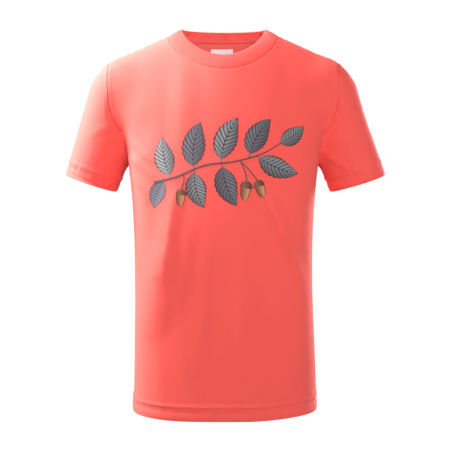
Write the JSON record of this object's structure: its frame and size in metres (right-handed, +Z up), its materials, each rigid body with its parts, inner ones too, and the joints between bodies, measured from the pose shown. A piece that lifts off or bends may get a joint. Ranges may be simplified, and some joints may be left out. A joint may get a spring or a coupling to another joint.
{
  "type": "children's t-shirt",
  "caption": "Crew-neck short-sleeved children's T-shirt in cotton jersey, filled out as it is worn, open at neck, sleeves and hem.",
  "frame": {"origin": "level with the two high shoulder points, where the neck band meets the shoulder seams, midway between them", "axes": "+Z up from the hem to the neck, -Y out of the chest, +X to the wearer's left"},
  "size_m": [0.4756, 0.2094, 0.5666],
  "materials": {
    "jersey": "matt single jersey",
    "rib": "matt 1x1 rib",
    "tape": "matt",
    "label": "satin"
  },
  "bodies": {
    "root": {"front_panel": "jersey", "back_panel": "jersey", "left_sleeve": "jersey", "right_sleeve": "jersey", "neck_band": "rib", "neck_tape": "tape", "left_shoulder_tape": "tape", "right_shoulder_tape": "tape", "neck_label": "label", "care_label": "label"}
  },
  "joints": []
}
